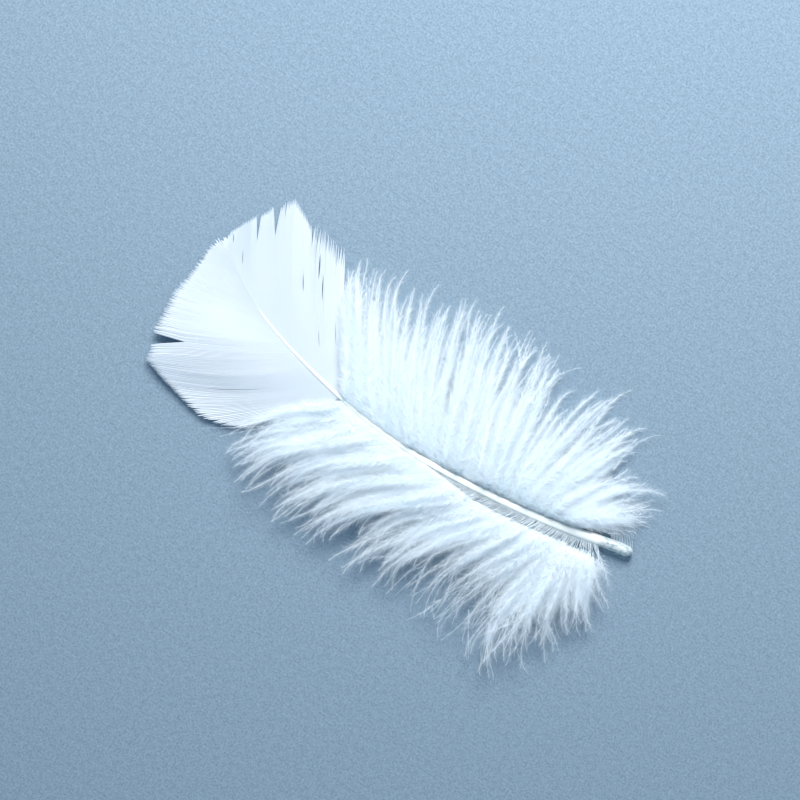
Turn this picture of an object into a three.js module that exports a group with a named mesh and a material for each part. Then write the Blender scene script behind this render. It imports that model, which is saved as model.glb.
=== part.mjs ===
// A white turkey body feather lying on its underside: a shaft with a quill, a closed vane
// on both sides of its outer third, and a tract of down on both sides of the rest.
// Millimetres, +Z up. +X runs along the shaft towards the quill, and the origin is under
// the middle of the feather, on the surface that it rests on.

import * as THREE from 'three';

// Driving dimensions.
const GAP = 0.3;                 // clearance between neighbouring pieces
const QUILL_RADIUS = 1.17;       // hollow end of the shaft
const QUILL_START = 43;          // x where the solid shaft has widened into the quill
const QUILL_TIP_LENGTH = 1.6;    // rounded stretch at the very end
const QUILL_TIP_SHARE = 0.96;    // share of that rounding before the small scar closes it
const RACHIS_RADIUS = 0.84;      // solid shaft where it meets the quill
const RACHIS_TIP_RADIUS = 0.13;  // solid shaft at the outer end of the feather
const QUILL_FLARE = 6;           // length over which the shaft widens into the quill
const VANE_THICKNESS = 0.5;      // closed web with its hooked barbules
const VANE_CAMBER = 0.5;         // rise of the web above a straight line from shaft to edge
const DOWN_CROWN = 4.6;          // height of the down at its fullest
const DOWN_EDGE = 0.9;           // height of the down at its tips
const DOWN_ROOT_RISE = 0.15;     // share of the mound's curve already climbed at the shaft
const DOWN_END_SHARE = 0.6;      // height of the mound at the ends of a tract, of its full height
const BARB_BOW = 0.06;           // how far a barb bends towards the quill, per unit length

// Facets: around and along the shaft, and from root to tip of a web.
const SHAFT_SIDES = 12;
const SHAFT_STEPS = 56;
const BARB_STEPS = 8;
const RING_CROWDING = 1.25;      // over 1 sets the shaft's rings closer towards the quill
const HALVINGS = 30;             // steps of the search for a place on the shaft

// Centre line of the shaft, from its fine outer end to the end of the quill. It bends
// gently in plan, and it arches over the down between the vane and the quill.
const shaftLine = new THREE.CatmullRomCurve3([
  new THREE.Vector3(-49.3, 10.9, 0.6),
  new THREE.Vector3(-39.9, 4.9, 1.3),
  new THREE.Vector3(-28.6, 1.1, 2.1),
  new THREE.Vector3(-15.5, -1.6, 2.7),
  new THREE.Vector3(1.6, -3.0, 3.0),
  new THREE.Vector3(19.1, -1.7, 2.6),
  new THREE.Vector3(37.4, 1.4, 1.6),
  new THREE.Vector3(46.0, 3.6, 1.2),
  new THREE.Vector3(52.0, 5.0, QUILL_RADIUS),
]);

// Outer ends of the barbs of each web, from the feather's outer end towards the quill.
// The deep points are the splits in the vane and the partings between tufts of down.
const vaneLeftTips = [
  [-51.5, 11.0], [-52.2, 7.7], [-52.4, 3.7], [-53.3, 0.7], [-53.6, -2.0], [-53.2, -5.0],
  [-52.5, -8.0], [-52.2, -11.2], [-50.8, -12.0], [-45.9, -9.4], [-49.9, -12.8],
  [-50.6, -14.8], [-50.1, -17.4], [-45.7, -18.7], [-42.7, -18.9], [-39.3, -19.3],
  [-36.2, -20.0], [-32.1, -20.4], [-28.6, -18.6],
];
const vaneRightTips = [
  [-51.0, 12.4], [-50.0, 14.8], [-48.4, 18.0], [-45.1, 15.7], [-47.5, 18.9], [-46.0, 21.8],
  [-42.1, 17.7], [-44.8, 23.6], [-43.3, 26.3], [-40.7, 24.9], [-36.9, 22.9], [-35.1, 20.9],
  [-36.7, 23.7], [-35.0, 23.2], [-33.1, 23.7], [-30.6, 23.2], [-29.5, 22.8],
];
const downLeftTips = [
  [-25.5, -23.8], [-24.7, -26.8], [-20.2, -28.4], [-16.0, -26.8], [-11.5, -29.5],
  [-7.5, -27.8], [-4.0, -30.0], [1.0, -28.6], [7.8, -31.2], [12.0, -28.8], [16.2, -30.0],
  [20.0, -27.6], [23.0, -30.9], [27.5, -28.0], [31.1, -29.7], [34.0, -28.4],
  [37.8, -31.6], [41.0, -29.0], [41.6, -25.8], [45.4, -25.1], [44.4, -20.5],
  [50.3, -19.4], [48.4, -15.6], [53.2, -12.4], [50.0, -8.6], [53.6, -3.2], [47.6, -0.6],
];
const downRightTips = [
  [-27.4, 21.0], [-24.5, 24.9], [-21.0, 23.6], [-17.5, 25.0], [-13.0, 27.5], [-9.0, 26.6],
  [-3.2, 28.7], [-0.5, 27.0], [2.5, 31.6], [6.5, 28.0], [11.0, 30.1], [15.8, 30.2],
  [19.5, 27.0], [23.1, 29.6], [25.5, 27.0], [29.5, 30.4], [33.2, 29.4], [36.0, 25.4],
  [43.9, 27.6], [41.0, 22.0], [47.5, 18.3], [46.0, 15.2], [51.1, 13.6], [47.5, 10.4],
  [50.6, 8.4],
];

// Radius of the shaft at x: a long taper, a flare into the quill and a rounded end.
function shaftRadius(x) {
  const start = shaftLine.points[0].x;
  const end = shaftLine.points.at(-1).x;
  const along = (x - start) / (QUILL_START - start);
  const taper = RACHIS_TIP_RADIUS + (RACHIS_RADIUS - RACHIS_TIP_RADIUS) * Math.sqrt(Math.max(along, 0));
  const flare = THREE.MathUtils.smoothstep(x, QUILL_START - QUILL_FLARE, QUILL_START);
  const radius = THREE.MathUtils.lerp(Math.min(taper, RACHIS_RADIUS), QUILL_RADIUS, flare);
  const intoTip = THREE.MathUtils.clamp((x - end) / QUILL_TIP_LENGTH + 1, 0, QUILL_TIP_SHARE);
  return radius * Math.sqrt(1 - intoTip ** 2);
}

// Point on the centre line at x, found by halving, since x always grows along it.
function shaftAt(x) {
  let low = 0;
  let high = 1;
  for (let i = 0; i < HALVINGS; i += 1) {
    const middle = (low + high) / 2;
    if (shaftLine.getPoint(middle).x < x) {
      low = middle;
    } else {
      high = middle;
    }
  }
  return { point: shaftLine.getPoint(low), tangent: shaftLine.getTangent(low) };
}

// The shaft is a closed cylinder with its rings moved onto the centre line.
function makeShaft() {
  const geometry = new THREE.CylinderGeometry(1, 1, 1, SHAFT_SIDES, SHAFT_STEPS);
  const position = geometry.getAttribute('position');
  const start = shaftLine.points[0].x;
  const end = shaftLine.points.at(-1).x;
  for (let i = 0; i < position.count; i += 1) {
    const along = position.getY(i) + 0.5;
    const evened = 1 - (1 - along) ** RING_CROWDING;
    const x = THREE.MathUtils.lerp(start, end, evened);
    const { point, tangent } = shaftAt(x);
    const side = new THREE.Vector3(-tangent.y, tangent.x, 0).normalize();
    const up = new THREE.Vector3().crossVectors(tangent, side);
    const radius = shaftRadius(x);
    point.addScaledVector(up, radius * position.getX(i));
    point.addScaledVector(side, radius * position.getZ(i));
    position.setXYZ(i, point.x, point.y, Math.max(point.z, 0));
  }
  return geometry;
}

// A web is a closed box bent to shape: its length runs along the shaft, its width runs
// along the barbs from root to tip, and its height is set by heightAt(root, along, out).
function makeWeb({ tips, side, firstRoot, lastRoot, heightAt }) {
  const stations = tips.length - 1;
  const geometry = new THREE.BoxGeometry(1, 1, 1, stations, BARB_STEPS, 1);
  const position = geometry.getAttribute('position');
  for (let i = 0; i < position.count; i += 1) {
    const along = position.getX(i) + 0.5;
    const out = 0.5 + side * position.getY(i);
    const isTop = position.getZ(i) > 0;
    const { point: root, tangent } = shaftAt(THREE.MathUtils.lerp(firstRoot, lastRoot, along));
    const normal = new THREE.Vector3(-tangent.y, tangent.x, 0).normalize();
    const start = root.clone().addScaledVector(normal, side * (shaftRadius(root.x) + GAP));
    const [tipX, tipY] = tips[Math.round(along * stations)];
    const barb = new THREE.Vector2(tipX - start.x, tipY - start.y);
    const bow = BARB_BOW * 4 * out * (1 - out);
    const x = start.x + barb.x * out + side * barb.y * bow;
    const y = start.y + barb.y * out - side * barb.x * bow;
    const { top, bottom } = heightAt(root.z, along, out);
    position.setXYZ(i, x, y, isTop ? top : bottom);
  }
  return geometry;
}

// The vane leaves the shaft at its height and bends over to the surface it rests on.
function vaneHeight(rootZ, along, out) {
  const line = THREE.MathUtils.lerp(rootZ, VANE_THICKNESS, out);
  const top = Math.max(line + VANE_CAMBER * Math.sin(Math.PI * out), VANE_THICKNESS);
  return { top, bottom: top - VANE_THICKNESS };
}

// Down is a soft mound with a flat underside, lower at the shaft and thin at its tips.
function downHeight(rootZ, along, out) {
  const climbed = Math.min(out + DOWN_ROOT_RISE, 1);
  const crown = Math.sin(Math.PI * climbed);
  const ends = THREE.MathUtils.lerp(DOWN_END_SHARE, 1, Math.sin(Math.PI * along));
  const edge = THREE.MathUtils.lerp(rootZ, DOWN_EDGE, out);
  return { top: edge + (DOWN_CROWN - rootZ) * crown * ends, bottom: 0 };
}

// Finishes. Everything is unpigmented keratin: solid and glossy in the shaft, matt in
// the vane, and so fine in the down that it looks brighter and softer.
const shaftKeratin = new THREE.MeshStandardMaterial({ color: 0xf3f7f4, roughness: 0.35, metalness: 0 });
const vaneKeratin = new THREE.MeshStandardMaterial({ color: 0xe6f2f8, roughness: 0.6, metalness: 0 });
const downKeratin = new THREE.MeshStandardMaterial({ color: 0xeff7fb, roughness: 0.9, metalness: 0 });

// The four webs, each on its side of the shaft: left is -Y and right is +Y.
const webs = [
  {
    name: 'vane_left', material: vaneKeratin, tips: vaneLeftTips, side: -1,
    firstRoot: -48.6, lastRoot: -16.6, heightAt: vaneHeight,
  },
  {
    name: 'vane_right', material: vaneKeratin, tips: vaneRightTips, side: 1,
    firstRoot: -48.6, lastRoot: -12.8, heightAt: vaneHeight,
  },
  {
    name: 'down_left', material: downKeratin, tips: downLeftTips, side: -1,
    firstRoot: -15.9, lastRoot: 46.5, heightAt: downHeight,
  },
  {
    name: 'down_right', material: downKeratin, tips: downRightTips, side: 1,
    firstRoot: -12.0, lastRoot: 46.5, heightAt: downHeight,
  },
];

const feather = new THREE.Group();

const shaft = new THREE.Mesh(makeShaft(), shaftKeratin);
shaft.name = 'shaft';
feather.add(shaft);

for (const web of webs) {
  const mesh = new THREE.Mesh(makeWeb(web), web.material);
  mesh.name = web.name;
  feather.add(mesh);
}

export default feather;
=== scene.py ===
import math

import bpy
import numpy as np
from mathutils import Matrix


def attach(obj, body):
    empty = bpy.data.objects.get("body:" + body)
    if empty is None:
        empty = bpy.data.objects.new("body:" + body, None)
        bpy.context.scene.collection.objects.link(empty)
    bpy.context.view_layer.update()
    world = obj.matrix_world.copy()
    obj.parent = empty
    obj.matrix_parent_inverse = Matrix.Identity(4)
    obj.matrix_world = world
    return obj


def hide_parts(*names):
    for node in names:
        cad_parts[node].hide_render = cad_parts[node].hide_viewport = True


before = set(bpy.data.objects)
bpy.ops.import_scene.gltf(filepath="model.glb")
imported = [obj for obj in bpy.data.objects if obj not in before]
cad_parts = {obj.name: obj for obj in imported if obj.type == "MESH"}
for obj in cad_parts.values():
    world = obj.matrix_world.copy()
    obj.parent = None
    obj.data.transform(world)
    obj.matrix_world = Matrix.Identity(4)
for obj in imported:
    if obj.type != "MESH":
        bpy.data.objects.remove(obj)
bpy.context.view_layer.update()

MM = 0.001

# Camera. The feather was photographed lying flat, from straight above and from well back,
# with its shaft running from the upper left down to the lower right.
SHAFT_TURN = math.radians(34)                  # how far the shaft points below level
PICTURE_MM = 160                               # what the picture's width takes in
PICTURE_MIDDLE = (-3.5, 4.4)                   # the picture's centre, in mm
CAMERA_HEIGHT_MM = 620
SENSOR_WIDTH = 36

camera_data = bpy.data.cameras.new("camera")
camera_data.sensor_width = SENSOR_WIDTH
camera_data.lens = camera_data.sensor_width * CAMERA_HEIGHT_MM / PICTURE_MM
camera_data.clip_start = 0.01
camera = bpy.data.objects.new("camera", camera_data)
camera.location = (PICTURE_MIDDLE[0] * MM, PICTURE_MIDDLE[1] * MM, CAMERA_HEIGHT_MM * MM)
camera.rotation_euler = (0, 0, SHAFT_TURN)
bpy.context.scene.collection.objects.link(camera)
bpy.context.scene.camera = camera
bpy.context.scene.view_settings.view_transform = "Standard"

# Light. One broad soft light stands beyond the top of the picture, a little to the right,
# and a cool even fill comes from all round, so shadows fall below the feather and stay soft.
LIGHT_ELEVATION = math.radians(43)
LIGHT_BEARING = math.radians(110)              # from +X, anticlockwise, seen from above
LIGHT_DISTANCE = 0.46
LIGHT_SIZE = 0.24
LIGHT_WATTS = 4.7
LIGHT_COLOUR = (1.0, 0.93, 0.895)
FILL_COLOUR = (0.58, 0.78, 1.0, 1.0)
FILL_STRENGTH = 0.58

key_data = bpy.data.lights.new("window", "AREA")
key_data.shape = "SQUARE"
key_data.size = LIGHT_SIZE
key_data.energy = LIGHT_WATTS
key_data.color = LIGHT_COLOUR
key = bpy.data.objects.new("window", key_data)
level = math.cos(LIGHT_ELEVATION) * LIGHT_DISTANCE
key.location = (level * math.cos(LIGHT_BEARING), level * math.sin(LIGHT_BEARING),
                math.sin(LIGHT_ELEVATION) * LIGHT_DISTANCE)
key.rotation_euler = (-key.location).to_track_quat("-Z", "Y").to_euler()
bpy.context.scene.collection.objects.link(key)

world = bpy.data.worlds.new("fill")
world.use_nodes = True
sky = world.node_tree.nodes["Background"]
sky.inputs["Color"].default_value = FILL_COLOUR
sky.inputs["Strength"].default_value = FILL_STRENGTH
bpy.context.scene.world = world

# Surface under the feather. A large sheet of plain matt card, pale blue-grey, pressed from
# pulp, so it shows faint clouds of fibre and a fine tooth.
CARD_SIDE = 3.0
CARD_COLOUR = "708696"
CARD_GRAIN_MM = 0.42
CARD_CLOUD_MM = 1.3
CARD_CLOUD_SHARE = 0.35                        # of the clouds, against the grain
CARD_TOOTH_MM = 0.05


def linear(colour):
    """An sRGB hex colour as linear red, green, blue and alpha."""
    parts = [int(colour[i:i + 2], 16) / 255 for i in (0, 2, 4)]
    return [p / 12.92 if p <= 0.04045 else ((p + 0.055) / 1.055) ** 2.4 for p in parts] + [1.0]


def add(tree, kind, settings=None, links=None, values=None):
    """Adds a node: settings are its own, values go on its sockets, links come into them."""
    node = tree.nodes.new(kind)
    for name, value in (settings or {}).items():
        setattr(node, name, value)
    for name, value in (values or {}).items():
        node.inputs[name].default_value = value
    for name, output in (links or {}).items():
        tree.links.new(output, node.inputs[name])
    return node


def new_material(name):
    """An empty node material with only its output."""
    material = bpy.data.materials.new(name)
    material.use_nodes = True
    material.node_tree.nodes.clear()
    output = material.node_tree.nodes.new("ShaderNodeOutputMaterial")
    return material, material.node_tree, output


def pulp_card():
    """Uncoated card: matt all over, faintly clouded, with a tooth that catches the light."""
    material, tree, output = new_material("uncoated_card")
    place = add(tree, "ShaderNodeTexCoord")
    clouds = add(tree, "ShaderNodeTexNoise", links={"Vector": place.outputs["Object"]},
                 values={"Scale": 1 / (CARD_CLOUD_MM * MM), "Detail": 2.0})
    grain = add(tree, "ShaderNodeTexNoise", links={"Vector": place.outputs["Object"]},
                values={"Scale": 1 / (CARD_GRAIN_MM * MM), "Detail": 1.0})
    both = add(tree, "ShaderNodeMath", {"operation": "MULTIPLY_ADD"},
               {0: clouds.outputs["Fac"], 2: grain.outputs["Fac"]}, {1: CARD_CLOUD_SHARE})
    tone = add(tree, "ShaderNodeMapRange", links={"Value": both.outputs[0]},
               values={"From Min": 0.4, "From Max": 0.95, "To Min": 0.78, "To Max": 1.22})
    colour = add(tree, "ShaderNodeVectorMath", {"operation": "SCALE"},
                 {"Scale": tone.outputs[0]}, {0: linear(CARD_COLOUR)[:3]})
    bump = add(tree, "ShaderNodeBump", links={"Height": grain.outputs["Fac"]},
               values={"Strength": 0.25, "Distance": CARD_TOOTH_MM * MM})
    shader = add(tree, "ShaderNodeBsdfPrincipled",
                 links={"Base Color": colour.outputs[0], "Normal": bump.outputs[0]},
                 values={"Roughness": 0.9, "IOR": 1.5, "Specular IOR Level": 0.2})
    tree.links.new(shader.outputs[0], output.inputs["Surface"])
    return material


half = CARD_SIDE / 2
card_mesh = bpy.data.meshes.new("card")
card_mesh.from_pydata([(-half, -half, 0), (half, -half, 0), (half, half, 0), (-half, half, 0)],
                      [], [(0, 1, 2, 3)])
card_mesh.materials.append(pulp_card())
card = bpy.data.objects.new("card", card_mesh)
bpy.context.scene.collection.objects.link(card)

# Shaft. One rod of keratin: hollow and cloudy in the quill, then filled with white pith and
# opaque in the rachis, which is squarish in section and tapers to a hair at the outer end.
SHAFT_RADII = [(-49.3, 0.11), (-40.0, 0.15), (-28.0, 0.27), (-16.0, 0.39), (1.6, 0.57),
               (20.0, 0.72), (37.0, 0.84), (41.0, 1.06), (44.0, 1.16), (52.0, 1.17)]
QUILL_END_ROUND = 1.6                          # length of the rounding at the very end, mm
QUILL_END_SHARE = 0.97                         # share of it before a small scar closes it
QUILL_START = 43.0                             # x where the rod has widened into the quill
PITH_END = (46.2, 47.2)                        # x where the white pith gives way to the quill
SHAFT_RINGS = 260
RING_CROWDING = 1.3                            # over 1 sets the rings closer towards the quill
SHAFT_SIDES = 20
LINE_DEGREE = 8                                # of the curve through the middle of the rod
LOWEST_ROD = 0.02                              # the rod's height over the surface, mm
RACHIS_WHITE = "dfe7e4"
QUILL_CLEAR = "a6c4d0"
QUILL_CLOUD = "f4ffff"
QUILL_CLOUD_MM = 0.7
QUILL_THROUGH = 0.5                            # share of the light that the quill lets through
PITH_EDGE_MM = 2.5                             # how far the edge of the pith wanders
KERATIN_LINES = (60, 1600, 1600)               # per metre: 17 mm long and 0.6 mm wide
KERATIN_RELIEF_MM = 0.03

shaft_points = np.array([v.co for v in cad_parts["shaft"].data.vertices]) / MM
shaft_start = shaft_points[:, 0].min()
shaft_end = shaft_points[:, 0].max()
shaft_y = np.polynomial.Polynomial.fit(shaft_points[:, 0], shaft_points[:, 1], LINE_DEGREE)
shaft_z = np.polynomial.Polynomial.fit(shaft_points[:, 0], shaft_points[:, 2], LINE_DEGREE)
SQUARENESS = ([shaft_start, 37, QUILL_START], [0.8, 0.72, 1.0])    # 1 is round


def shaft_radius(x):
    """Half the rod's width at x: a long taper, a flare into the quill and a round end."""
    rounding = np.clip((x - shaft_end) / QUILL_END_ROUND + 1, 0, QUILL_END_SHARE)
    return np.interp(x, *zip(*SHAFT_RADII)) * np.sqrt(1 - rounding ** 2)


def mesh_piece(name, points, faces, material, smooth=False):
    """A mesh object from points in mm and from lists of faces, one list for each corner count."""
    mesh = bpy.data.meshes.new(name)
    corners = np.concatenate([f.reshape(-1) for f in faces])
    sizes = np.concatenate([np.full(len(f), f.shape[1]) for f in faces])
    mesh.vertices.add(len(points))
    mesh.vertices.foreach_set("co", (points * MM).astype(np.float32).reshape(-1))
    mesh.loops.add(len(corners))
    mesh.loops.foreach_set("vertex_index", corners.astype(np.int32))
    mesh.polygons.add(len(sizes))
    mesh.polygons.foreach_set("loop_start", (np.cumsum(sizes) - sizes).astype(np.int32))
    mesh.polygons.foreach_set("use_smooth", np.full(len(sizes), smooth))
    mesh.update(calc_edges=True)
    mesh.materials.append(material)
    piece = bpy.data.objects.new(name, mesh)
    bpy.context.scene.collection.objects.link(piece)
    return piece


def rods(rings):
    """Closed rods from rings[rod, ring, corner, xyz]: their points and faces."""
    count, steps, corners, _ = rings.shape
    index = np.arange(count * steps * corners).reshape(count, steps, corners)
    turned = np.roll(index, -1, axis=2)
    sides = np.stack([index[:, :-1], turned[:, :-1], turned[:, 1:], index[:, 1:]], axis=-1)
    ends = np.concatenate([index[:, 0, ::-1], index[:, -1]])
    return rings.reshape(-1, 3), [sides.reshape(-1, 4), ends]


def unit(vectors):
    """The same vectors at length one."""
    return vectors / np.maximum(np.linalg.norm(vectors, axis=-1, keepdims=True), 1e-9)


def shaft_keratin():
    """Solid keratin: china white and satin where pith fills it, cloudy where it is hollow."""
    material, tree, output = new_material("shaft_keratin")
    place = add(tree, "ShaderNodeTexCoord")
    where = add(tree, "ShaderNodeSeparateXYZ", links={"Vector": place.outputs["Object"]})
    mottle = add(tree, "ShaderNodeTexNoise", links={"Vector": place.outputs["Object"]},
                 values={"Scale": 1 / (QUILL_CLOUD_MM * MM), "Detail": 1.5})
    uneven = add(tree, "ShaderNodeMath", {"operation": "MULTIPLY_ADD"},
                 {0: mottle.outputs["Fac"], 2: where.outputs["X"]}, {1: PITH_EDGE_MM * MM})
    hollow = add(tree, "ShaderNodeMapRange", {"interpolation_type": "SMOOTHSTEP"},
                 {"Value": uneven.outputs[0]},
                 {"From Min": PITH_END[0] * MM, "From Max": PITH_END[1] * MM})
    patches = add(tree, "ShaderNodeMapRange", links={"Value": mottle.outputs["Fac"]},
                  values={"From Min": 0.36, "From Max": 0.60})
    cloudy = add(tree, "ShaderNodeMix", {"data_type": "RGBA"}, {0: patches.outputs[0]},
                 {6: linear(QUILL_CLEAR), 7: linear(QUILL_CLOUD)})
    colour = add(tree, "ShaderNodeMix", {"data_type": "RGBA"},
                 {0: hollow.outputs[0], 7: cloudy.outputs[2]}, {6: linear(RACHIS_WHITE)})
    clear = add(tree, "ShaderNodeMath", {"operation": "MULTIPLY"},
                {0: hollow.outputs[0]}, {1: QUILL_THROUGH})
    grain = add(tree, "ShaderNodeMapping", links={"Vector": place.outputs["Object"]},
                values={"Scale": KERATIN_LINES})
    lines = add(tree, "ShaderNodeTexNoise", links={"Vector": grain.outputs[0]},
                values={"Scale": 1.0, "Detail": 2.0})
    bump = add(tree, "ShaderNodeBump", links={"Height": lines.outputs["Fac"]},
               values={"Strength": 0.3, "Distance": KERATIN_RELIEF_MM * MM})
    shader = add(tree, "ShaderNodeBsdfPrincipled",
                 links={"Base Color": colour.outputs[2], "Normal": bump.outputs[0],
                        "Transmission Weight": clear.outputs[0]},
                 values={"Roughness": 0.32, "IOR": 1.54})
    tree.links.new(shader.outputs[0], output.inputs["Surface"])
    return material


crowded = 1 - (1 - np.linspace(0, 1, SHAFT_RINGS)) ** RING_CROWDING
ring_x = shaft_start + (shaft_end - shaft_start) * crowded
line = np.stack([ring_x, shaft_y(ring_x), shaft_z(ring_x)], axis=1)
tangent = unit(np.gradient(line, axis=0))
across = unit(np.stack([-tangent[:, 1], tangent[:, 0], np.zeros(SHAFT_RINGS)], axis=1))
upward = np.cross(tangent, across)
turn = np.linspace(0, 2 * np.pi, SHAFT_SIDES, endpoint=False)
squareness = np.interp(ring_x, *SQUARENESS)
wide = np.sign(np.cos(turn)) * np.abs(np.cos(turn)) ** squareness[:, None]
high = np.sign(np.sin(turn)) * np.abs(np.sin(turn)) ** squareness[:, None]
size = shaft_radius(ring_x)[:, None, None]
section = wide[..., None] * across[:, None] + high[..., None] * upward[:, None]
shaft_rings = line[:, None] + size * section
shaft_rings[..., 2] = np.maximum(shaft_rings[..., 2], LOWEST_ROD)
rod = mesh_piece("rachis_and_quill", *rods(shaft_rings[None]), shaft_keratin(), smooth=True)
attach(rod, "root")
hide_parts("shaft")

# Vane. The outer third of the feather is closed: several hundred stiff barbs lie side by
# side, hooked together by their barbules, and part into splits where the hooks let go.
LEFT, RIGHT = -1, 1
LEFT_BARBS, RIGHT_BARBS = 230, 215
BARB_STEPS = 26
BARB_CREST = 0.03                              # height of a barb's ridge over the web, mm
BARB_DEPTH = 0.07                              # thickness of the web at its low lines, mm
BARB_OVERLAP = 0.56                            # half a barb's width, as a share of the pitch
BARB_MARGIN = 0.012                            # and this much more, so that no gap shows, mm
BARB_KEEL = 0.02                               # how far its lower edge lies under the web, mm
BARB_POINT = 0.10                              # width left at its tip, as a share
ROOT_INSET = ([-40, -34], [-0.6, 0.75])        # a root's place across the shaft, in its radii
ROOT_RISE = ([-46, -38, -32, -12], [0.22, 0.24, 0.12, 0.20])      # over its middle, mm
UNEVEN_TIPS = (-1, 0.5)                        # how far the loosest tips differ in length, mm
UNEVEN_HEIGHT = 0.006
SPLIT_SPREAD = 1.6                             # how far along the shaft a split bends barbs, mm
BUNDLE_SHARE = (0.12, 0.5)                     # of a bundle, for each barb: 2 to 8 cling together
BUNDLE_START = 0.88                            # share of a barb's length where they close up
BUNDLE_DROP = 0.012                            # how far one bundle lies over the next, mm
# What grows with looseness: what the firmest barbs have, and how much more the loosest.
UNEVEN_SHARE = (0.2, 0.7)
GATHER_SHARE = (0.09, 0.6)
POINT_SHARE = (0.05, 0.10)
VANE_CLOUD_MM = 6
VANE_WHITES = ("e0e9ed", "e9eef1")
VANE_THROUGH = "d8ecf9"                        # what passes through comes out bluer
VANE_THROUGH_SHARE = 0.40
# Where along the shaft the barbs hang together loosely: x of the root, and how loose.
LEFT_LOOSENESS = ([-49, -44, -30, -16, -14], [0.8, 0.3, 0.15, 0.1, 0.4])
RIGHT_LOOSENESS = ([-49, -44, -38, -22, -20, -13], [0.7, 0.3, 0.1, 0.1, 0.8, 1.0])

random = np.random.default_rng(11)


def curved(roots, tips, bow, steps):
    """Barbs in plan, as arcs[barb, step, xy] that leave their chord by bow degrees."""
    chord = tips - roots
    angle = np.radians(bow)
    turned = np.stack([chord[:, 0] * np.cos(angle) - chord[:, 1] * np.sin(angle),
                       chord[:, 0] * np.sin(angle) + chord[:, 1] * np.cos(angle)], axis=1)
    middle = roots + 0.5 * turned / np.cos(angle)[:, None]
    t = np.linspace(0, 1, steps)[None, :, None]
    return (1 - t) ** 2 * roots[:, None] + 2 * t * (1 - t) * middle[:, None] + t ** 2 * tips[:, None]


def roots_at(x, side, inset):
    """Where barbs leave the shaft: on its flank, at inset of its radius from the middle."""
    slope = shaft_y.deriv()(x)
    away = unit(np.stack([-slope, np.ones_like(x)], axis=1)) * side
    return np.stack([x, shaft_y(x)], axis=1) + away * (inset * shaft_radius(x))[:, None]


def sideways(paths):
    """Level unit vectors across each path, to its left."""
    step = np.gradient(paths, axis=1)
    return unit(np.stack([-step[..., 1], step[..., 0], np.zeros(step.shape[:2])], axis=-1))


def vane_keratin():
    """Thin keratin web: white with a soft sheen along the barbs, letting some light through."""
    material, tree, output = new_material("vane_keratin")
    place = add(tree, "ShaderNodeTexCoord")
    clouds = add(tree, "ShaderNodeTexNoise", links={"Vector": place.outputs["Object"]},
                 values={"Scale": 1 / (VANE_CLOUD_MM * MM), "Detail": 2.0})
    colour = add(tree, "ShaderNodeMix", {"data_type": "RGBA"}, {0: clouds.outputs["Fac"]},
                 {6: linear(VANE_WHITES[0]), 7: linear(VANE_WHITES[1])})
    front = add(tree, "ShaderNodeBsdfPrincipled", links={"Base Color": colour.outputs[2]},
                values={"Roughness": 0.5, "IOR": 1.54, "Specular IOR Level": 0.3})
    through = add(tree, "ShaderNodeBsdfTranslucent", values={"Color": linear(VANE_THROUGH)})
    mix = add(tree, "ShaderNodeMixShader", links={1: front.outputs[0], 2: through.outputs[0]},
              values={0: VANE_THROUGH_SHARE})
    tree.links.new(mix.outputs[0], output.inputs["Surface"])
    return material


# Each row: x of the root on the shaft, x and y of the barb's tip, its bow in degrees, and
# the web's rise over a straight line and its height at the edge, all in mm.
LEFT_VANE = np.array([
    (-49.2, -50.5, 12.3, 26, 0.0, 0.9), (-48.5, -51.5, 11.0, 24, 0.0, 0.9),
    (-47.2, -51.9, 9.4, 12, 0.0, 0.9), (-45.1, -52.3, 7.8, 5, 0.05, 1.0),
    (-43.0, -52.2, 5.8, 3, 0.1, 1.1), (-40.9, -52.4, 3.8, 4, 0.25, 1.2),
    (-38.7, -52.5, 1.7, 5, 0.4, 1.3), (-36.9, -52.8, -0.4, 6, 0.5, 1.4),
    (-35.0, -53.1, -2.5, 7, 0.7, 1.6), (-33.1, -52.9, -4.8, 6, 1.0, 1.9),
    (-31.3, -52.6, -7.3, 5, 1.4, 1.9), (-29.4, -52.3, -9.9, 3, 1.8, 1.9),
    (-28.4, -52.0, -11.4, 2, 2.0, 1.8), (-26.2, -50.9, -14.4, 3, 1.9, 1.7),
    (-25.2, -50.6, -15.9, 6, 1.7, 1.6), (-23.6, -50.2, -17.2, 10, 1.4, 1.5),
    (-22.3, -48.7, -17.6, 13, 1.2, 1.5), (-20.1, -46.2, -18.4, 13, 0.8, 1.5),
    (-18.1, -43.1, -19.1, 12, 0.5, 1.4), (-16.7, -39.3, -20.0, 9, 0.4, 1.3),
    (-15.6, -35.7, -20.7, 6, 0.2, 1.2), (-14.8, -31.9, -20.3, 4, 0.1, 1.1),
    (-13.8, -28.0, -18.8, 3, 0.0, 1.1),
])
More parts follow.
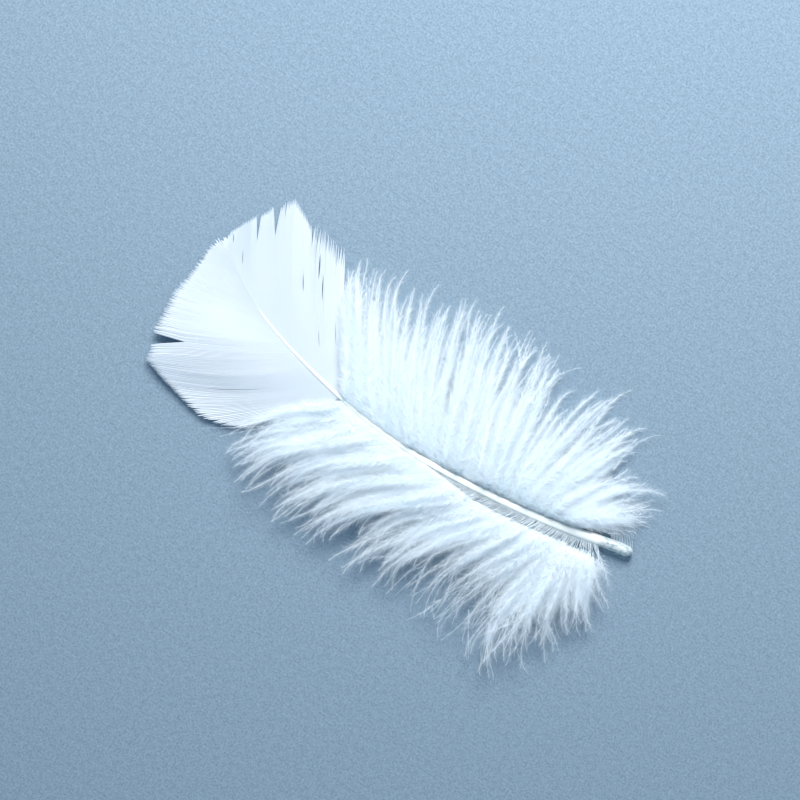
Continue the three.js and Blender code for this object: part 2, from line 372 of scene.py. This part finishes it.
RIGHT_VANE = np.array([
    (-49.2, -50.4, 11.8, 0, 0.0, 0.8), (-48.1, -50.3, 13.3, 0, 0.0, 0.7),
    (-46.0, -49.9, 15.0, 0, 0.0, 0.5), (-43.0, -49.2, 16.5, 1, 0.0, 0.35),
    (-39.7, -48.4, 18.0, 3, 0.0, 0.3), (-37.8, -47.6, 19.1, 5, 0.0, 0.3),
    (-33.4, -46.1, 21.9, 5, 0.0, 0.3), (-30.3, -44.8, 23.1, 5, 0.0, 0.3),
    (-28.8, -44.5, 24.4, 5, 0.0, 0.3), (-26.1, -43.4, 26.2, 6, 0.0, 0.3),
    (-24.8, -41.7, 25.4, 6, 0.0, 0.3), (-23.1, -39.7, 24.6, 6, 0.0, 0.3),
    (-21.7, -37.6, 23.4, 6, 0.0, 0.3), (-20.6, -36.9, 23.8, 6, 0.0, 0.3),
    (-18.7, -35.3, 23.7, 6, 0.0, 0.4), (-16.7, -33.6, 23.7, 6, 0.0, 0.4),
    (-14.3, -31.3, 23.3, 5, 0.0, 0.4), (-13.1, -30.1, 23.4, 5, 0.0, 0.6),
    (-12.6, -28.9, 22.5, 4, 0.0, 0.6),
])
# Each row: x of the root where barbs part, how far out the gap opens and where it closes
# again (over 1 at the edge), and half its width in mm.
LEFT_SPLITS = [(-27.2, 0.76, 1.3, 1.2), (-18.9, 0.30, 0.80, 0.06), (-27.2, 0.25, 0.78, 0.03)]
RIGHT_SPLITS = [
    (-37.5, 0.70, 1.3, 0.46), (-31.6, 0.77, 1.3, 0.74), (-28.8, 0.86, 1.3, 0.12),
    (-21.2, 0.86, 1.3, 0.30), (-43.0, 0.25, 0.55, 0.07), (-22.9, 0.48, 0.62, 0.10),
    (-18.6, 0.66, 0.86, 0.16), (-17.6, 0.54, 0.74, 0.12), (-18.9, 0.2, 0.35, 0.06),
    (-14.3, 0.3, 0.5, 0.06), (-16.4, 0.88, 1.2, 0.16), (-14.2, 0.86, 1.2, 0.16),
    (-19.8, 0.88, 1.2, 0.14), (-47.0, 0.5, 0.9, 0.08),
]


def vane(name, side, table, splits, count, looseness):
    """One side of the vane as closed barbs with a ridge, each a little over its neighbour."""
    x = np.linspace(table[0, 0], table[-1, 0], count)
    columns = (np.interp(x, table[:, 0], column)[:, None] for column in table.T[1:])
    tip_x, tip_y, bow, camber, edge = columns
    loose = np.interp(x, *looseness)
    roots = roots_at(x, side, np.interp(x, *ROOT_INSET))
    chord = np.concatenate([tip_x, tip_y], axis=1) - roots
    uneven = random.uniform(*UNEVEN_TIPS, count) * (UNEVEN_SHARE[0] + UNEVEN_SHARE[1] * loose)
    tips = roots + chord + unit(chord) * uneven[:, None]
    plan = curved(roots, tips, bow[:, 0], BARB_STEPS)
    t = np.linspace(0, 1, BARB_STEPS)
    beneath = np.maximum(plan[..., 0], shaft_start)
    flank = shaft_z(beneath) + np.interp(beneath, *ROOT_RISE)
    height = (flank * (1 - t) + edge * t + camber * np.sin(np.pi * t)
              + random.normal(0, UNEVEN_HEIGHT, count)[:, None] * t)
    paths = np.concatenate([plan, height[..., None]], axis=2)
    beside = sideways(paths)
    pitch = np.abs(np.sum(np.gradient(plan, axis=0) * beside[..., :2], axis=2))
    for root, opens, closes, half_width in splits:
        ramp = np.clip((t - opens) / (min(closes, 1) - opens), 0, 1)
        shape = np.sin(np.pi * ramp) if closes < 1 else ramp
        away = x - root
        push = np.sign(away) * np.exp(-np.abs(away) / SPLIT_SPREAD) * half_width
        paths += beside * (-side * push)[:, None, None] * shape[None, :, None]
    bundle = np.floor(np.cumsum(random.uniform(*BUNDLE_SHARE, count))).astype(int)
    middle = (np.bincount(bundle, x) / np.maximum(np.bincount(bundle), 1))[bundle]
    gather = (middle - x) * (GATHER_SHARE[0] + GATHER_SHARE[1] * loose)
    spread = pitch / np.gradient(x)[:, None]
    closing = np.clip((t - BUNDLE_START) / (1 - BUNDLE_START), 0, 1) ** 1.5
    paths += beside * (-side * gather[:, None] * spread * closing)[..., None]
    drop = random.uniform(-1, 1, bundle.max() + 1)[bundle]
    paths[..., 2] += drop[:, None] * BUNDLE_DROP * np.clip(t - 0.2, 0, 1)
    point = POINT_SHARE[0] + POINT_SHARE[1] * loose[:, None]
    taper = np.clip((1 - t) / point, BARB_POINT, 1) ** 0.8
    wide = (BARB_OVERLAP * pitch + BARB_MARGIN) * taper
    lift = np.array([0, 0, 1.0])
    rings = np.stack([
        paths - beside * wide[..., None] - lift * (BARB_DEPTH * taper)[..., None],
        paths - beside * 0.1 * wide[..., None] + lift * (BARB_CREST * taper)[..., None],
        paths + beside * wide[..., None] - lift * (BARB_DEPTH * taper)[..., None],
        paths - lift * (BARB_DEPTH * taper + BARB_KEEL)[..., None],
    ], axis=2)
    piece = mesh_piece(f"{name}_web", *rods(rings), web)
    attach(piece, "root")
    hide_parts(name)


web = vane_keratin()
vane("vane_left", LEFT, LEFT_VANE, LEFT_SPLITS, LEFT_BARBS, LEFT_LOOSENESS)
vane("vane_right", RIGHT, RIGHT_VANE, RIGHT_SPLITS, RIGHT_BARBS, RIGHT_LOOSENESS)

# Down. Below the vane the barbs have no hooks: each is a soft thread, bare at the shaft and
# then feathered all round with fine barbules, and the threads cling together in tufts.
DOWN_PIECES = 3                                # of each side, which keeps every mesh small
DOWN_STEPS = 22
DOWN_PITCH = 0.26                              # spacing of the barbs on the shaft, mm
ROOT_PITCH = 0.2                               # the closest that roots stand on the shaft, mm
LATE_START = (0.15, 0.22)                      # share of the way out where those between start
SHORT_REACH = (0.6, 0.86)                      # of the way to the outline, inside a tuft
LONG_REACH = (0.86, 1.02)                      # and at its tip
TUFT_SHARE = 0.15                              # how far tips are drawn to the tip of their tuft
TUFT_MIXING = 0.4                              # how far barbs stray to the next tuft, in tufts
WILD_SHARE = 0.25                              # of the barbs, which lie less in order
WILDNESS = 2.3
ROOT_FLANK = 0.75                              # a root's place across the shaft, in its radii
ROOT_LEVEL = 0.3                               # and over the shaft's middle, in its radii
ROOT_RUN = 2.0                                 # how far a barb keeps the direction of its root, mm
EARLY_PLACE = 0.30                             # where a barb leans near its root, as a share
LATE_PLACE = 0.62                              # and where it leans farther out
END_RUN = 0.17                                 # share of its length that turns at its end
ARCH_SKEW = 0.65                               # under 1 sets the top of its arch nearer the root
LOWEST_TIP = 0.3                               # mm
SWAY = 0.5                                     # how far its tip waves sideways, mm
SWAY_TURN = 4.2                                # how far the wave runs on along it, in radians
RIPPLE_TURN = 11                               # the same for the smaller ripple on it
HEAVE = 0.3                                    # how far its tip waves up and down, mm
HEAVE_TURN = 7
WAVE_SHARE = 0.7                               # of a full turn, where the waves may start
RAMUS_RADIUS = 0.046                           # of a barb's own thread, mm
RAMUS_TAPER = ([0, 0.06, 0.15, 1], [1.45, 1.3, 1.0, 0.5])
STRAY_RADIUS = 0.6 * RAMUS_RADIUS
STRAY_HEIGHT = 2.4                             # over the surface, at its root, mm
STRAY_DROP = 1.4                               # how much lower its tip hangs
STRAY_FULLNESS = 0.25                          # share of the barbules of a barb in a tuft
STRAY_BARBULE = 0.4                            # and of their length
COMB_RADIUS = 0.7 * RAMUS_RADIUS
UNDER_SHARE = 0.3                              # of the barbs, which lie below the others
UNDER_DROP = 1.1                               # how far below, mm
UNDER_SLOPE = 5                                # they are down there a fifth of the way out
UNDER_BARE = 0.2                               # the length without barbules at their roots, mm
BARE_UNEVEN = (0.85, 1.4)                      # how that length differs among the others
STRIP_UNEVEN = (0.8, 1.4)                      # and how the bare strip's width does
LOWEST_THREAD = 0.12                           # height over the surface, mm
LOWEST_BARBULE = 0.03
BARBULE_WIDTH = 0.060                          # coarser than the real 0.015, to show, mm
BARBULE_LENGTH = 2.6
BARBULE_UNEVEN = (0.5, 1.15)                   # how their lengths differ, as shares
BARBULES_PER_MM = 66                           # both sides of a barb together
BARBULE_CROWDING = 1.15                        # over 1 sets them closer towards the root
BARBULE_LEAN = (15, 72)                        # away from the barb, in degrees
BARBULE_SPREAD = 0.6                           # how far they turn out of the level, in radians
DOWN_CLOUD_MM = 4
DOWN_WHITES = ("f1fafe", "f9feff")
DOWN_THROUGH = "f1faff"                        # what passes through comes out bluer
DOWN_THROUGH_SHARE = 0.5

# How much tufts differ from one another, and barbs too: "tip", "height" and "ripple" and the
# loft of a barb in mm, "end" in degrees, "wave" in radians, and the rest as shares.
BETWEEN_TUFTS = {"reach": 0.03, "end": 4, "lean": 0.007, "loft": 0.06, "height": 0.35,
                 "wave": 0.3, "fullness": 0.08}
BETWEEN_BARBS = {"tip": 0.75, "end": 20, "lean": 0.012, "bend": 0.055, "loft": 0.6,
                 "height": 0.8, "ripple": 0.22}
LARGEST_END = 38                               # the most that a barb's end turns by itself
FULLNESS_LIMITS = (0.6, 1.4)

# Pairs of lists: places along the shaft, and what holds there.
FEWEST_IN_TUFT = ([20, 38, 42, 44], [7, 12, 12, 6])
FLUFFINESS = ([-12, 20, 38], [0.35, 0.45, 0.9])
LAST_FULLNESS = ([41.5, 43.5], [1, 0.6])
# And shares of a barb's length, with what holds there: how many barbules are kept, how far
# the outer share counts, how far they lean, and how long they are on lank and fluffy barbs.
BARBULES_KEPT = ([0, 0.55, 0.8, 0.92, 1], [1, 0.95, 0.74, 0.45, 0.2])
OUTER_PART = ([0.4, 0.65], [0, 1])
LEAN_ALONG = ([0, 0.6, 1], [1.0, 0.9, 0.6])
LANK_GROWTH = ([0, 0.1, 0.6, 0.8, 0.92, 1.0], [0.6, 1.0, 1.0, 0.8, 0.5, 0.25])
FLUFFY_GROWTH = ([0, 0.1, 0.85, 1.0], [0.6, 1.0, 1.0, 0.7])

# How the down of each side grows. Lists are in pairs as above. Along the shaft go the angle
# at the root, the lean towards the vane near the root and farther out, the height of the
# arch, how unruly the barbs are, the bare strip's width and the share of outer barbules. The
# width of the barbules goes by the share of the barb's length. Of the single numbers,
# end_turn is in degrees, tip_height in mm, and the others are shares.
LEFT_HABIT = {
    "root_angle": ([-13, 5, 38, 41, 43, 45], [234, 254, 259, 268, 292, 322]),
    "end_turn": 26,
    "early_lean": ([-13, -7, -2, 4, 12, 20], [0.0, 0.045, 0.075, 0.06, 0.02, 0.0]),
    "late_lean": ([-13, -6, -1, 6, 38, 45], [0.09, 0.13, 0.155, 0.15, 0.12, 0.02]),
    "loft": ([-13, 0, 30, 45], [1.3, 2.2, 2.5, 1.3]),
    "tip_height": 3.3,
    "short_share": 0.60,
    "unruly": ([15, 36], [1.0, 1.7]),
    "bare": ([-14, 7, 11, 15, 20, 26, 41, 43.5, 47],
             [-0.12, -0.1, 0.5, 1.3, 1.9, 2.15, 2.1, 2.6, 2.9]),
    "left_in_strip": 0.012,
    "outer_share": ([27, 31, 36, 38.5, 41, 43], [1.0, 0.4, 0.25, 0.45, 0.5, 0.8]),
    "barbule_width": ([0, 0.3, 0.5, 0.75, 1], [1, 0.8, 0.45, 0.25, 0.2]),
}
RIGHT_HABIT = {
    "root_angle": ([-12, 30, 37, 41], [126, 126, 120, 92]),
    "end_turn": -20,
    "early_lean": ([-12, 41], [0.05, 0.05]),
    "late_lean": ([-12, 41], [0.05, 0.05]),
    "loft": ([-12, 0, 30, 41], [0.5, 1.0, 1.5, 0.8]),
    "tip_height": 1.3,
    "short_share": 0.38,
    "unruly": ([10, 36], [0.7, 1.0]),
    "bare": ([-12, 1, 5, 20, 32, 38, 42, 43.5, 46.5, 47.5],
             [-0.2, -0.15, 0.4, 0.5, 0.2, 0.1, 0.3, 1.0, 1.1, 0.2]),
    "left_in_strip": 0.12,
    "outer_share": ([-12, 35, 38, 41], [1.0, 1.0, 0.5, 0.35]),
    "barbule_width": ([0, 0.4, 0.6, 0.8, 1], [1, 0.8, 0.45, 0.28, 0.2]),
}

# Each row: x of the root on the shaft, then x and y of the tuft's outermost tip.
LEFT_TUFTS = np.array([
    (-12.5, -27.0, -18.6), (-10.0, -26.2, -20.6), (-6.5, -25.9, -25.2), (-2.0, -22.5, -27.5),
    (2.0, -19.4, -28.8), (6.5, -15.7, -28.6), (11.0, -11.5, -29.5), (14.5, -8.1, -28.8),
    (18.0, -4.7, -29.9), (21.0, 0.1, -29.8), (23.5, 4.0, -29.6), (26.0, 7.8, -31.2),
    (28.5, 11.4, -29.6), (31.0, 15.2, -30.0), (33.0, 19.2, -28.6), (35.0, 23.6, -29.7),
    (36.6, 28.4, -28.9), (37.6, 31.1, -29.7), (38.5, 35.3, -31.0), (39.3, 39.8, -31.0),
    (40.0, 42.0, -27.8), (40.6, 44.5, -24.5), (41.2, 46.2, -20.5), (41.8, 50.3, -19.0),
    (42.4, 51.8, -14.5), (43.0, 53.0, -12.4), (43.6, 51.1, -8.6), (44.3, 53.0, -4.0),
    (45.0, 49.0, -1.6),
])
RIGHT_TUFTS = np.array([
    (-12.3, -25.4, 18.8), (-11.4, -26.5, 21.7), (-9.4, -26.0, 22.6), (-6.8, -24.3, 24.9),
    (-4.7, -22.0, 24.0), (-2.7, -18.9, 24.1), (0.0, -15.8, 25.5), (3.2, -13.0, 27.4),
    (5.0, -9.9, 27.6), (8.0, -5.5, 27.4), (10.1, -3.2, 28.7), (12.3, 0.3, 28.2),
    (14.8, 2.5, 31.0), (17.9, 8.0, 28.6), (19.6, 11.0, 30.1), (20.9, 12.8, 29.6),
    (22.2, 15.8, 30.0), (24.5, 21.8, 25.3), (27.4, 28.5, 29.8), (28.9, 32.7, 29.4),
    (30.8, 38.1, 26.0), (32.4, 40.8, 24.4), (34.6, 43.8, 19.4), (36.4, 47.5, 18.2),
    (38.2, 51.0, 13.7), (39.6, 50.6, 11.9), (41.0, 48.0, 8.4),
])
# Barbs that stray out of the tufts: three points of each, in plan.
LEFT_STRAYS = [
    ((34.8, -17.6), (37.1, -25.6), (39.8, -31.5)), ((36.0, -22.5), (39.1, -27.2), (41.0, -29.0)),
    ((36.6, -17.5), (40.9, -22.4), (43.1, -25.7)), ((37.9, -17.2), (42.3, -22.6), (45.1, -25.1)),
    ((19.1, -20.1), (19.8, -25.7), (21.9, -29.6)), ((25.5, -23.8), (23.9, -29.0), (22.2, -31.1)),
    ((19.1, -20.9), (18.7, -24.1), (17.5, -28.5)), ((31.1, -22.5), (34.7, -27.8), (36.7, -30.8)),
    ((45.2, -15.8), (49.2, -17.9), (50.7, -19.4)), ((-17.4, -10.7), (-25.7, -17.3), (-33.2, -22.4)),
    ((-19.0, -11.9), (-25.5, -17.7), (-29.4, -21.8)), ((42.5, 1.0), (46.5, 0.5), (48.0, 0.0)),
]
RIGHT_STRAYS = [
    ((18.9, 23.1), (19.7, 27.3), (23.1, 30.1)), ((39.5, 16.5), (39.5, 25.2), (43.9, 27.9)),
    ((12.9, 23.1), (11.1, 25.8), (7.7, 28.6)), ((12.9, 23.1), (11.3, 26.9), (11.1, 30.4)),
]
# The shortest barbs, beside the quill, are bare and stand like a sparse comb.
COMB_PITCH = 0.38
QUILL_COMB = [((x, 5.2), (x - 0.9, 6.5), (x - 1.7, 7.7 + 0.2 * (x - 47.2)))
              for x in np.arange(46.8, 51.9, COMB_PITCH)]


def down_keratin():
    """Down: threads far finer than a hair, so matt, very white, and lit from within."""
    material, tree, output = new_material("down_keratin")
    place = add(tree, "ShaderNodeTexCoord")
    clouds = add(tree, "ShaderNodeTexNoise", links={"Vector": place.outputs["Object"]},
                 values={"Scale": 1 / (DOWN_CLOUD_MM * MM), "Detail": 2.0})
    colour = add(tree, "ShaderNodeMix", {"data_type": "RGBA"}, {0: clouds.outputs["Fac"]},
                 {6: linear(DOWN_WHITES[0]), 7: linear(DOWN_WHITES[1])})
    front = add(tree, "ShaderNodeBsdfPrincipled", links={"Base Color": colour.outputs[2]},
                values={"Roughness": 0.6, "IOR": 1.54, "Specular IOR Level": 0.2})
    through = add(tree, "ShaderNodeBsdfTranslucent", values={"Color": linear(DOWN_THROUGH)})
    mix = add(tree, "ShaderNodeMixShader", links={1: front.outputs[0], 2: through.outputs[0]},
              values={0: DOWN_THROUGH_SHARE})
    tree.links.new(mix.outputs[0], output.inputs["Surface"])
    return material


def drawn_together(place, measure):
    """One smoothly changing random number for each place among the tufts."""
    each = random.normal(0, BETWEEN_TUFTS[measure], len(LEFT_TUFTS))
    return np.interp(place, np.arange(len(LEFT_TUFTS)), each)


def down_paths(side, tufts, habit):
    """The barbs of one side as paths[barb, step, xyz], gathered into tufts at their tips."""
    order = np.arange(len(tufts))
    shares = np.maximum(np.diff(tufts[:, 0]) / DOWN_PITCH, np.interp(tufts[1:, 0], *FEWEST_IN_TUFT))
    reached = np.concatenate([[0], np.cumsum(shares)])
    count = int(reached[-1])
    place = np.interp(np.linspace(0, reached[-1], count), reached, order)
    x = np.interp(place, order, tufts[:, 0])
    owner = np.clip(np.round(place + random.normal(0, TUFT_MIXING, count)), 0, len(tufts) - 1).astype(int)
    even = np.stack([np.interp(place, order, tufts[:, i]) for i in (1, 2)], axis=1)
    hidden = np.diff(np.floor(np.cumsum(np.gradient(x) / ROOT_PITCH)), prepend=-1) < 1
    start_share = np.where(hidden, random.uniform(*LATE_START, count), 0)[:, None]
    unruly = np.interp(x, *habit["unruly"])
    wild = (np.where(random.random(count) < WILD_SHARE, WILDNESS, 1.0) * unruly)[:, None]
    tips = ((1 - TUFT_SHARE) * even + TUFT_SHARE * tufts[owner, 1:]
            + wild * random.normal(0, BETWEEN_BARBS["tip"], (count, 2)))
    roots = roots_at(x, side, ROOT_FLANK)
    reach = np.where(random.random(count) < habit["short_share"],
                     random.uniform(*SHORT_REACH, count), random.uniform(*LONG_REACH, count))
    chord = (tips - roots) * (reach + drawn_together(place, "reach"))[:, None]
    length = np.linalg.norm(chord, axis=1)[:, None]
    outward = np.arctan2(chord[:, 1], chord[:, 0])
    toward_vane = side * unit(np.stack([-chord[:, 1], chord[:, 0]], axis=1))
    calm = (1 - TUFT_SHARE) * (even - roots)
    calm_toward_vane = side * np.stack([-calm[:, 1], calm[:, 0]], axis=1)
    start = np.radians(np.interp(x, *habit["root_angle"]))
    own_turn = np.clip(random.normal(0, BETWEEN_BARBS["end"], count) * unruly, -LARGEST_END, LARGEST_END)
    end = outward + np.radians(habit["end_turn"] + own_turn + drawn_together(place, "end"))
    lean = (random.normal(0, BETWEEN_BARBS["lean"], count) + drawn_together(place, "lean"))[:, None]
    early = np.interp(x, *habit["early_lean"])[:, None] + lean
    late = np.interp(x, *habit["late_lean"])[:, None] + lean
    bend = wild * random.normal(0, BETWEEN_BARBS["bend"], (count, 1))
    control = np.stack([
        roots,
        roots + ROOT_RUN * np.stack([np.cos(start), np.sin(start)], axis=1),
        roots + EARLY_PLACE * calm + early * calm_toward_vane,
        roots + LATE_PLACE * chord + (late + bend) * length * toward_vane,
        roots + chord - END_RUN * length * np.stack([np.cos(end), np.sin(end)], axis=1),
        roots + chord,
    ], axis=1)
    t = start_share + (1 - start_share) * np.linspace(0, 1, DOWN_STEPS)
    blend = np.stack([math.comb(5, k) * t ** k * (1 - t) ** (5 - k) for k in range(6)])
    plan = np.einsum("kbs,bkc->bsc", blend, control)
    loft = (np.interp(x, *habit["loft"]) * (1 + drawn_together(place, "loft"))
            + random.normal(0, BETWEEN_BARBS["loft"], count))
    tip_height = (habit["tip_height"] + drawn_together(place, "height")
                  + random.normal(0, BETWEEN_BARBS["height"], count))
    height = ((shaft_z(x) + ROOT_LEVEL * shaft_radius(x))[:, None] * (1 - t)
              + np.maximum(tip_height, LOWEST_TIP)[:, None] * t
              + loft[:, None] * np.sin(np.pi * t ** ARCH_SKEW))
    paths = np.concatenate([plan, height[..., None]], axis=2)
    wave = random.uniform(0, 2 * np.pi, (2, count)) * WAVE_SHARE + drawn_together(place, "wave")
    ripple = random.normal(0, BETWEEN_BARBS["ripple"], count)[:, None]
    sway = (SWAY * np.sin(SWAY_TURN * t + wave[0][:, None]) * t ** 1.3
            + ripple * np.sin(RIPPLE_TURN * t + wave[1][:, None]) * t)
    paths += sideways(paths) * sway[..., None]
    paths[..., 2] += HEAVE * np.sin(HEAVE_TURN * t + wave[1][:, None]) * t
    paths[..., 2] = np.maximum(paths[..., 2], LOWEST_THREAD)
    return x, hidden, paths


def stray_paths(strays):
    """The stray barbs as paths, hanging lower towards their tips."""
    near, middle, far = (np.array(points)[:, None] for points in zip(*strays))
    t = np.linspace(0, 1, DOWN_STEPS)[None, :, None]
    plan = (1 - t) ** 2 * near + 2 * t * (1 - t) * middle + t ** 2 * far
    height = np.broadcast_to(STRAY_HEIGHT - STRAY_DROP * t, plan.shape[:2] + (1,))
    return np.concatenate([plan, height], axis=2)


def threads(paths, radius):
    """Three-sided tapering rods along paths."""
    beside = sideways(paths)
    above = np.cross(unit(np.gradient(paths, axis=1)), beside)
    turns = np.radians([90, 210, 330])
    t = np.linspace(0, 1, paths.shape[1])
    thick = radius * np.interp(t, *RAMUS_TAPER)[:, None, None]
    rings = (paths[:, :, None] + thick * np.cos(turns)[:, None] * beside[:, :, None]
             + thick * np.sin(turns)[:, None] * above[:, :, None])
    return rods(rings)


def barbules(paths, bare, fullness, outer, fluffy, size, habit):
    """Fine flat blades that stand off the barbs all round and point towards their tips."""
    step = np.diff(paths, axis=1)
    length = np.linalg.norm(step, axis=2).sum(axis=1)
    number = np.maximum((BARBULES_PER_MM * fullness * (length - bare)).astype(int), 1)
    barb = np.repeat(np.arange(len(paths)), number)
    start = (bare / length)[barb]
    t = start + (1 - start) * random.random(len(barb)) ** BARBULE_CROWDING
    kept = random.random(len(barb)) < np.interp(t, *BARBULES_KEPT)
    kept &= random.random(len(barb)) < np.interp(t, *OUTER_PART) * (outer[barb] - 1) + 1
    barb, t = barb[kept], t[kept]
    place = t * (paths.shape[1] - 1)
    low = np.minimum(place.astype(int), paths.shape[1] - 2)
    part = (place - low)[:, None]
    base = paths[barb, low] * (1 - part) + paths[barb, low + 1] * part
    along = unit(step[barb, low])
    beside = unit(np.stack([-along[:, 1], along[:, 0], np.zeros(len(barb))], axis=1))
    above = np.cross(along, beside)
    roll = (random.normal(0, BARBULE_SPREAD, len(barb))
            + np.pi * (random.random(len(barb)) < 0.5))
    lean = (np.radians(random.uniform(*BARBULE_LEAN, len(barb)))
            * np.interp(t, *LEAN_ALONG))
    out = np.cos(roll)[:, None] * beside + np.sin(roll)[:, None] * above
    aim = np.cos(lean)[:, None] * along + np.sin(lean)[:, None] * out
    grown = (np.interp(t, *LANK_GROWTH) * (1 - fluffy[barb])
             + np.interp(t, *FLUFFY_GROWTH) * fluffy[barb])
    long = size * BARBULE_LENGTH * grown * random.uniform(*BARBULE_UNEVEN, len(barb))
    half_width = 0.5 * BARBULE_WIDTH * np.interp(t, *habit["barbule_width"])[:, None]
    flat = unit(np.cross(above, aim))
    tilt = random.normal(0, BARBULE_SPREAD, len(barb))[:, None]
    edge = half_width * (np.cos(tilt) * flat + np.sin(tilt) * np.cross(aim, flat))
    points = np.stack([base - edge, base + edge, base + aim * long[:, None]], axis=1)
    # The strip beside the shaft stays bare: nearly all blades that stand in it are taken out.
    gap = np.min([np.abs(points[:, i, 1] - shaft_y(points[:, i, 0])) for i in (2, 0)], axis=0)
    strip = shaft_radius(points[:, 2, 0]) + np.interp(points[:, 2, 0], *habit["bare"])
    clear = gap > strip * random.uniform(*STRIP_UNEVEN, len(barb))
    points = points[clear | (random.random(len(barb)) < habit["left_in_strip"])]
    points[..., 2] = np.maximum(points[..., 2], LOWEST_BARBULE)
    return points.reshape(-1, 3), np.arange(3 * len(points)).reshape(-1, 3)


def joined(shapes):
    """Several meshes' points and faces as one."""
    points, faces, reached = [], [], 0
    for some_points, some_faces in shapes:
        points.append(some_points)
        faces += [f + reached for f in (some_faces if isinstance(some_faces, list) else [some_faces])]
        reached += len(some_points)
    return np.concatenate(points), faces


def down(node, side, tufts, strays, habit):
    """The down of one side, in as many pieces as keep each mesh easy to handle."""
    x, hidden, paths = down_paths(side, tufts, habit)
    bare = np.interp(x, *habit["bare"]) * random.uniform(*BARE_UNEVEN, len(x))
    of_tufts = random.normal(1, BETWEEN_TUFTS["fullness"], len(tufts))
    fullness = np.clip(np.interp(x, tufts[:, 0], of_tufts), *FULLNESS_LIMITS)
    fullness *= np.interp(x, *LAST_FULLNESS)
    outer = np.interp(x, *habit["outer_share"])
    fluffy = np.interp(x, *FLUFFINESS)
    under = random.random(len(x)) < UNDER_SHARE
    bare[under | hidden] = UNDER_BARE
    sunk = UNDER_DROP * np.clip(UNDER_SLOPE * np.linspace(0, 1, DOWN_STEPS), 0, 1)
    paths[under, :, 2] = np.maximum(paths[under, :, 2] - sunk, LOWEST_THREAD)
    for number, group in enumerate(np.array_split(np.arange(len(x)), DOWN_PIECES), start=1):
        shapes = [
            threads(paths[group], RAMUS_RADIUS),
            barbules(paths[group], bare[group], fullness[group], outer[group], fluffy[group], 1.0, habit),
        ]
        if number == DOWN_PIECES:
            loose = stray_paths(strays)
            zero, whole = np.zeros(len(loose)), np.ones(len(loose))
            shapes.append(threads(loose, STRAY_RADIUS))
            shapes.append(barbules(loose, zero, STRAY_FULLNESS, whole, zero, STRAY_BARBULE, habit))
        if number == DOWN_PIECES and side == RIGHT:
            shapes.append(threads(stray_paths(QUILL_COMB), COMB_RADIUS))
        piece = mesh_piece(f"{node}_{number}", *joined(shapes), fluff)
        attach(piece, "root")
        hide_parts(node)


fluff = down_keratin()
down("down_left", LEFT, LEFT_TUFTS, LEFT_STRAYS, LEFT_HABIT)
random = np.random.default_rng(17)
down("down_right", RIGHT, RIGHT_TUFTS, RIGHT_STRAYS, RIGHT_HABIT)
